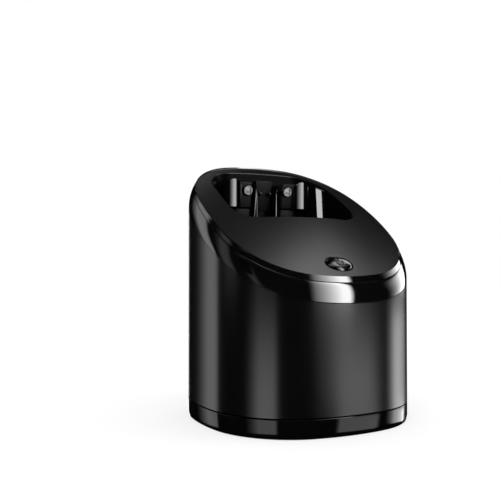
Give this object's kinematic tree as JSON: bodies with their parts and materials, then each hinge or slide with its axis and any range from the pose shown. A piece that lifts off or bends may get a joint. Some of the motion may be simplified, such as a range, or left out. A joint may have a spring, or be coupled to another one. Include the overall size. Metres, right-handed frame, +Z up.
{
  "type": "shaver cleaning station",
  "caption": "Oval drum-shaped dock for an electric shaver: sloping matt deck with a recess and start button, gloss trim, lifting housing and slide-out cartridge.",
  "frame": {"origin": "middle of the outline, on the surface that the feet stand on", "axes": "+Z up, front of the dock towards -Y, width along X"},
  "size_m": [0.128, 0.124, 0.1583],
  "materials": {
    "gloss_black": "mirror gloss",
    "satin_shell": "satin gloss",
    "matt_deck": "fine matt",
    "rubber": "matt",
    "steel": "satin",
    "polished_screw": "polished",
    "black_plastic": "fine satin",
    "inner_plastic": "moulded",
    "bowl_plastic": "moulded gloss",
    "contact_metal": "plated",
    "dark_chrome": "polished",
    "hose": "smooth",
    "circuit_board": "lacquered",
    "cartridge_plastic": "moulded gloss",
    "filter_foam": "open foam"
  },
  "bodies": {
    "base": {"base_cover": "black_plastic", "base_screw_front_left": "steel", "base_screw_front_right": "steel", "base_screw_rear_left": "steel", "base_screw_rear_right": "steel", "base_tray": "gloss_black", "guide_post_left": "steel", "guide_post_right": "steel", "latch_catch": "black_plastic", "lift_spring_left": "steel", "lift_spring_right": "steel", "rubber_foot_front_left": "rubber", "rubber_foot_front_right": "rubber", "rubber_foot_rear_left": "rubber", "rubber_foot_rear_right": "rubber"},
    "housing": {"body_shell": "satin_shell", "button_board": "circuit_board", "contact_tower": "black_plastic", "deck_panel": "matt_deck", "drain_seal": "rubber", "fan_housing": "inner_plastic", "feed_seal": "rubber", "frame_screw_front_left": "steel", "frame_screw_front_right": "steel", "frame_screw_rear_left": "steel", "frame_screw_rear_right": "steel", "guide_fin_left": "gloss_black", "guide_fin_right": "gloss_black", "guide_sleeve_left": "inner_plastic", "guide_sleeve_right": "inner_plastic", "inner_frame": "inner_plastic", "main_board": "circuit_board", "power_socket": "black_plastic", "pump_cover": "inner_plastic", "pump_housing": "inner_plastic", "pump_motor": "steel", "recess_liner": "gloss_black", "rest_block_left": "black_plastic", "rest_block_right": "black_plastic", "rest_screw_left": "polished_screw", "rest_screw_right": "polished_screw", "socket_pin_left": "contact_metal", "socket_pin_right": "contact_metal", "start_switch": "black_plastic", "suction_tube": "hose", "supply_tube": "hose", "top_rim": "gloss_black", "trim_band": "gloss_black", "wash_bowl": "bowl_plastic"},
    "cartridge": {"cartridge_filter": "filter_foam", "cartridge_lid": "cartridge_plastic", "cartridge_tank": "cartridge_plastic"},
    "start_button": {"start_button": "dark_chrome"},
    "lift_button": {"lift_button": "gloss_black", "latch_slider": "black_plastic"},
    "contact_pin_left": {"contact_pin_left": "contact_metal"},
    "contact_pin_right": {"contact_pin_right": "contact_metal"},
    "pump_rotor": {"pump_rotor": "inner_plastic"},
    "fan_rotor": {"fan_rotor": "inner_plastic"}
  },
  "joints": [
    {"name": "housing_lift", "type": "slide", "parent": "base", "child": "housing", "axis": [0, 0, 1], "range_m": [0, 0.036], "deforming": ["lift_spring_left", "lift_spring_right"]},
    {"name": "cartridge_slide", "type": "slide", "parent": "base", "child": "cartridge", "axis": [0, 1, 0], "range_m": [0, 0.11]},
    {"name": "start_press", "type": "slide", "parent": "housing", "child": "start_button", "axis": [0, 0.6116, -0.7912], "range_m": [0, 0.001], "stiffness_N_per_m": 600, "springref_m": -0.001},
    {"name": "lift_press", "type": "slide", "parent": "housing", "child": "lift_button", "axis": [0, -1, 0], "range_m": [0, 0.0035], "stiffness_N_per_m": 500, "springref_m": -0.002},
    {"name": "contact_left_press", "type": "slide", "parent": "housing", "child": "contact_pin_left", "axis": [0, 1, 0], "range_m": [0, 0.0015], "stiffness_N_per_m": 250, "springref_m": -0.001},
    {"name": "contact_right_press", "type": "slide", "parent": "housing", "child": "contact_pin_right", "axis": [0, 1, 0], "range_m": [0, 0.0015], "stiffness_N_per_m": 250, "springref_m": -0.001},
    {"name": "pump_spin", "type": "hinge", "parent": "housing", "child": "pump_rotor", "pos_m": [-0.024, -0.03, 0.072], "axis": [0, 0, 1], "continuous": true},
    {"name": "fan_spin", "type": "hinge", "parent": "housing", "child": "fan_rotor", "pos_m": [0.021, -0.032, 0.074], "axis": [0, 0, 1], "continuous": true}
  ]
}
